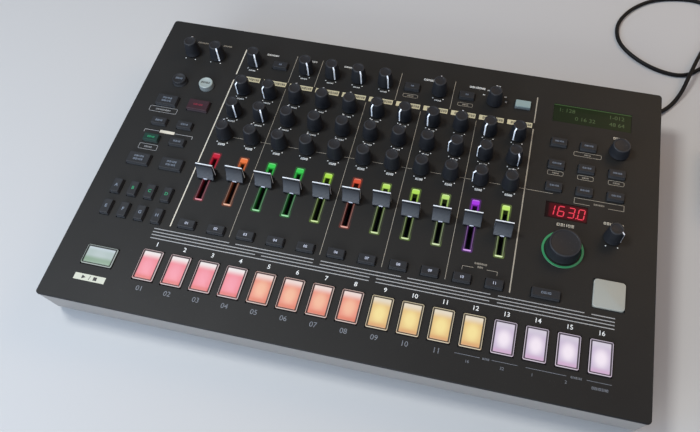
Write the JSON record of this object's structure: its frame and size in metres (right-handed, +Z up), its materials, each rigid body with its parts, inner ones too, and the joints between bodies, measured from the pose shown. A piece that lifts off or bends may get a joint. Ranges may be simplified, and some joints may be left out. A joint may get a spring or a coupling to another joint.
{
  "type": "drum machine",
  "caption": "Desktop drum machine: wedge case with flat panel, lit step pads, mixer faders, knobs, buttons, displays and rear sockets",
  "frame": {"origin": "middle of the machine's footprint on the table, cord and adapter left out", "axes": "+X towards the player's right, +Y towards the rear sockets, +Z up"},
  "size_m": [0.5139, 0.4393, 0.0575],
  "materials": {
    "panel": "matte black paint",
    "case": "fine texture grey",
    "rubber": "matte",
    "screw": "black zinc",
    "board": "solder mask",
    "socket": "matte",
    "pot": "satin",
    "knob": "satin black",
    "fader_cap": "satin grey",
    "button": "satin dark grey",
    "light_guide": "frosted, lit from below",
    "pad": "frosted, lit from below",
    "window": "polished",
    "ring": "frosted, lit from below",
    "cord": "satin black jacket",
    "plug": "matte black"
  },
  "bodies": {
    "base": {"top_panel": "panel", "lower_case": "case", "rubber_feet": "rubber", "case_screws": "screw", "circuit_boards": "board", "rear_sockets": "socket", "knob_pots": "pot", "channel_knobs": "knob", "fader_units": "pot", "fader_light_guides": "light_guide", "displays": "window", "tempo_ring": "ring", "dc_plug": "plug", "power_cord": "cord", "power_cord_coil": "cord", "power_adapter": "plug"},
    "volume_knob": {"volume_knob": "knob"},
    "input_knob": {"input_knob": "knob"},
    "accent_knob": {"accent_knob": "knob"},
    "reverb_knob": {"reverb_knob": "knob"},
    "delay_level_knob": {"delay_level_knob": "knob"},
    "delay_time_knob": {"delay_time_knob": "knob"},
    "delay_feedback_knob": {"delay_feedback_knob": "knob"},
    "master_knob": {"master_knob": "knob"},
    "fill_knob": {"fill_knob": "knob"},
    "value_knob": {"value_knob": "knob"},
    "tempo_knob": {"tempo_knob": "knob"},
    "shuffle_knob": {"shuffle_knob": "knob"},
    "fader_cap_01": {"fader_cap_01": "fader_cap"},
    "fader_cap_02": {"fader_cap_02": "fader_cap"},
    "fader_cap_03": {"fader_cap_03": "fader_cap"},
    "fader_cap_04": {"fader_cap_04": "fader_cap"},
    "fader_cap_05": {"fader_cap_05": "fader_cap"},
    "fader_cap_06": {"fader_cap_06": "fader_cap"},
    "fader_cap_07": {"fader_cap_07": "fader_cap"},
    "fader_cap_08": {"fader_cap_08": "fader_cap"},
    "fader_cap_09": {"fader_cap_09": "fader_cap"},
    "fader_cap_10": {"fader_cap_10": "fader_cap"},
    "fader_cap_11": {"fader_cap_11": "fader_cap"},
    "step_pad_01": {"step_pad_01": "pad"},
    "step_pad_02": {"step_pad_02": "pad"},
    "step_pad_03": {"step_pad_03": "pad"},
    "step_pad_04": {"step_pad_04": "pad"},
    "step_pad_05": {"step_pad_05": "pad"},
    "step_pad_06": {"step_pad_06": "pad"},
    "step_pad_07": {"step_pad_07": "pad"},
    "step_pad_08": {"step_pad_08": "pad"},
    "step_pad_09": {"step_pad_09": "pad"},
    "step_pad_10": {"step_pad_10": "pad"},
    "step_pad_11": {"step_pad_11": "pad"},
    "step_pad_12": {"step_pad_12": "pad"},
    "step_pad_13": {"step_pad_13": "pad"},
    "step_pad_14": {"step_pad_14": "pad"},
    "step_pad_15": {"step_pad_15": "pad"},
    "step_pad_16": {"step_pad_16": "pad"},
    "start_pad": {"start_pad": "pad"},
    "trigger_pad": {"trigger_pad": "pad"},
    "instrument_buttons": {"instrument_buttons": "button"},
    "function_buttons": {"function_buttons": "button"},
    "power_switch": {"power_switch": "button"}
  },
  "joints": [
    {"name": "volume_knob_turn", "type": "hinge", "parent": "base", "child": "volume_knob", "pos_m": [-0.1759, 0.09882, 0.0487], "axis": [0, 0.0399, -0.9992], "range_deg": [-150, 150]},
    {"name": "input_knob_turn", "type": "hinge", "parent": "base", "child": "input_knob", "pos_m": [-0.1541, 0.09882, 0.0487], "axis": [0, 0.0399, -0.9992], "range_deg": [-300, 0]},
    {"name": "accent_knob_turn", "type": "hinge", "parent": "base", "child": "accent_knob", "pos_m": [-0.1217, 0.09882, 0.0487], "axis": [0, 0.0399, -0.9992], "range_deg": [-300, 0]},
    {"name": "reverb_knob_turn", "type": "hinge", "parent": "base", "child": "reverb_knob", "pos_m": [-0.0776, 0.09882, 0.0487], "axis": [0, 0.0399, -0.9992], "range_deg": [-300, 0]},
    {"name": "delay_level_knob_turn", "type": "hinge", "parent": "base", "child": "delay_level_knob", "pos_m": [-0.0555, 0.09882, 0.0487], "axis": [0, 0.0399, -0.9992], "range_deg": [-300, 0]},
    {"name": "delay_time_knob_turn", "type": "hinge", "parent": "base", "child": "delay_time_knob", "pos_m": [-0.0335, 0.09882, 0.0487], "axis": [0, 0.0399, -0.9992], "range_deg": [-300, 0]},
    {"name": "delay_feedback_knob_turn", "type": "hinge", "parent": "base", "child": "delay_feedback_knob", "pos_m": [-0.0115, 0.09882, 0.0487], "axis": [0, 0.0399, -0.9992], "range_deg": [-300, 0]},
    {"name": "master_knob_turn", "type": "hinge", "parent": "base", "child": "master_knob", "pos_m": [0.0325, 0.09882, 0.0487], "axis": [0, 0.0399, -0.9992], "range_deg": [-150, 150]},
    {"name": "fill_knob_turn", "type": "hinge", "parent": "base", "child": "fill_knob", "pos_m": [0.0765, 0.09782, 0.04866], "axis": [0, 0.0399, -0.9992], "range_deg": [-90, 90]},
    {"name": "value_knob_turn", "type": "hinge", "parent": "base", "child": "value_knob", "pos_m": [0.1743, 0.06805, 0.04747], "axis": [0, 0.0399, -0.9992], "continuous": true},
    {"name": "tempo_knob_turn", "type": "hinge", "parent": "base", "child": "tempo_knob", "pos_m": [0.141, -0.02288, 0.04384], "axis": [0, 0.0399, -0.9992], "continuous": true},
    {"name": "shuffle_knob_turn", "type": "hinge", "parent": "base", "child": "shuffle_knob", "pos_m": [0.1737, -0.0066, 0.04449], "axis": [0, 0.0399, -0.9992], "range_deg": [-270, 30]},
    {"name": "fader_cap_01_slide", "type": "slide", "parent": "base", "child": "fader_cap_01", "axis": [0, 0.9992, 0.0399], "range_m": [-0.0168, 0.0132]},
    {"name": "fader_cap_02_slide", "type": "slide", "parent": "base", "child": "fader_cap_02", "axis": [0, 0.9992, 0.0399], "range_m": [-0.0191, 0.0109]},
    {"name": "fader_cap_03_slide", "type": "slide", "parent": "base", "child": "fader_cap_03", "axis": [0, 0.9992, 0.0399], "range_m": [-0.0191, 0.0109]},
    {"name": "fader_cap_04_slide", "type": "slide", "parent": "base", "child": "fader_cap_04", "axis": [0, 0.9992, 0.0399], "range_m": [-0.0181, 0.0119]},
    {"name": "fader_cap_05_slide", "type": "slide", "parent": "base", "child": "fader_cap_05", "axis": [0, 0.9992, 0.0399], "range_m": [-0.0188, 0.0112]},
    {"name": "fader_cap_06_slide", "type": "slide", "parent": "base", "child": "fader_cap_06", "axis": [0, 0.9992, 0.0399], "range_m": [-0.0196, 0.0104]},
    {"name": "fader_cap_07_slide", "type": "slide", "parent": "base", "child": "fader_cap_07", "axis": [0, 0.9992, 0.0399], "range_m": [-0.0211, 0.0089]},
    {"name": "fader_cap_08_slide", "type": "slide", "parent": "base", "child": "fader_cap_08", "axis": [0, 0.9992, 0.0399], "range_m": [-0.0171, 0.0129]},
    {"name": "fader_cap_09_slide", "type": "slide", "parent": "base", "child": "fader_cap_09", "axis": [0, 0.9992, 0.0399], "range_m": [-0.0176, 0.0124]},
    {"name": "fader_cap_10_slide", "type": "slide", "parent": "base", "child": "fader_cap_10", "axis": [0, 0.9992, 0.0399], "range_m": [-0.0188, 0.0112]},
    {"name": "fader_cap_11_slide", "type": "slide", "parent": "base", "child": "fader_cap_11", "axis": [0, 0.9992, 0.0399], "range_m": [-0.0151, 0.0149]},
    {"name": "step_pad_01_press", "type": "slide", "parent": "base", "child": "step_pad_01", "axis": [0, 0.0399, -0.9992], "range_m": [0, 0.001], "stiffness_N_per_m": 300, "springref_m": -0.001},
    {"name": "step_pad_02_press", "type": "slide", "parent": "base", "child": "step_pad_02", "axis": [0, 0.0399, -0.9992], "range_m": [0, 0.001], "stiffness_N_per_m": 300, "springref_m": -0.001},
    {"name": "step_pad_03_press", "type": "slide", "parent": "base", "child": "step_pad_03", "axis": [0, 0.0399, -0.9992], "range_m": [0, 0.001], "stiffness_N_per_m": 300, "springref_m": -0.001},
    {"name": "step_pad_04_press", "type": "slide", "parent": "base", "child": "step_pad_04", "axis": [0, 0.0399, -0.9992], "range_m": [0, 0.001], "stiffness_N_per_m": 300, "springref_m": -0.001},
    {"name": "step_pad_05_press", "type": "slide", "parent": "base", "child": "step_pad_05", "axis": [0, 0.0399, -0.9992], "range_m": [0, 0.001], "stiffness_N_per_m": 300, "springref_m": -0.001},
    {"name": "step_pad_06_press", "type": "slide", "parent": "base", "child": "step_pad_06", "axis": [0, 0.0399, -0.9992], "range_m": [0, 0.001], "stiffness_N_per_m": 300, "springref_m": -0.001},
    {"name": "step_pad_07_press", "type": "slide", "parent": "base", "child": "step_pad_07", "axis": [0, 0.0399, -0.9992], "range_m": [0, 0.001], "stiffness_N_per_m": 300, "springref_m": -0.001},
    {"name": "step_pad_08_press", "type": "slide", "parent": "base", "child": "step_pad_08", "axis": [0, 0.0399, -0.9992], "range_m": [0, 0.001], "stiffness_N_per_m": 300, "springref_m": -0.001},
    {"name": "step_pad_09_press", "type": "slide", "parent": "base", "child": "step_pad_09", "axis": [0, 0.0399, -0.9992], "range_m": [0, 0.001], "stiffness_N_per_m": 300, "springref_m": -0.001},
    {"name": "step_pad_10_press", "type": "slide", "parent": "base", "child": "step_pad_10", "axis": [0, 0.0399, -0.9992], "range_m": [0, 0.001], "stiffness_N_per_m": 300, "springref_m": -0.001},
    {"name": "step_pad_11_press", "type": "slide", "parent": "base", "child": "step_pad_11", "axis": [0, 0.0399, -0.9992], "range_m": [0, 0.001], "stiffness_N_per_m": 300, "springref_m": -0.001},
    {"name": "step_pad_12_press", "type": "slide", "parent": "base", "child": "step_pad_12", "axis": [0, 0.0399, -0.9992], "range_m": [0, 0.001], "stiffness_N_per_m": 300, "springref_m": -0.001},
    {"name": "step_pad_13_press", "type": "slide", "parent": "base", "child": "step_pad_13", "axis": [0, 0.0399, -0.9992], "range_m": [0, 0.001], "stiffness_N_per_m": 300, "springref_m": -0.001},
    {"name": "step_pad_14_press", "type": "slide", "parent": "base", "child": "step_pad_14", "axis": [0, 0.0399, -0.9992], "range_m": [0, 0.001], "stiffness_N_per_m": 300, "springref_m": -0.001},
    {"name": "step_pad_15_press", "type": "slide", "parent": "base", "child": "step_pad_15", "axis": [0, 0.0399, -0.9992], "range_m": [0, 0.001], "stiffness_N_per_m": 300, "springref_m": -0.001},
    {"name": "step_pad_16_press", "type": "slide", "parent": "base", "child": "step_pad_16", "axis": [0, 0.0399, -0.9992], "range_m": [0, 0.001], "stiffness_N_per_m": 300, "springref_m": -0.001},
    {"name": "start_pad_press", "type": "slide", "parent": "base", "child": "start_pad", "axis": [0, 0.0399, -0.9992], "range_m": [0, 0.001], "stiffness_N_per_m": 300, "springref_m": -0.001},
    {"name": "trigger_pad_press", "type": "slide", "parent": "base", "child": "trigger_pad", "axis": [0, 0.0399, -0.9992], "range_m": [0, 0.001], "stiffness_N_per_m": 300, "springref_m": -0.001},
    {"name": "instrument_buttons_press", "type": "slide", "parent": "base", "child": "instrument_buttons", "axis": [0, 0.0399, -0.9992], "range_m": [0, 0.0007], "stiffness_N_per_m": 500, "springref_m": -0.001},
    {"name": "function_buttons_press", "type": "slide", "parent": "base", "child": "function_buttons", "axis": [0, 0.0399, -0.9992], "range_m": [0, 0.0007], "stiffness_N_per_m": 700, "springref_m": -0.001},
    {"name": "power_switch_rock", "type": "hinge", "parent": "base", "child": "power_switch", "pos_m": [0.181, 0.1266, 0.022], "axis": [0, 0, 1], "range_deg": [-14, 0]}
  ]
}
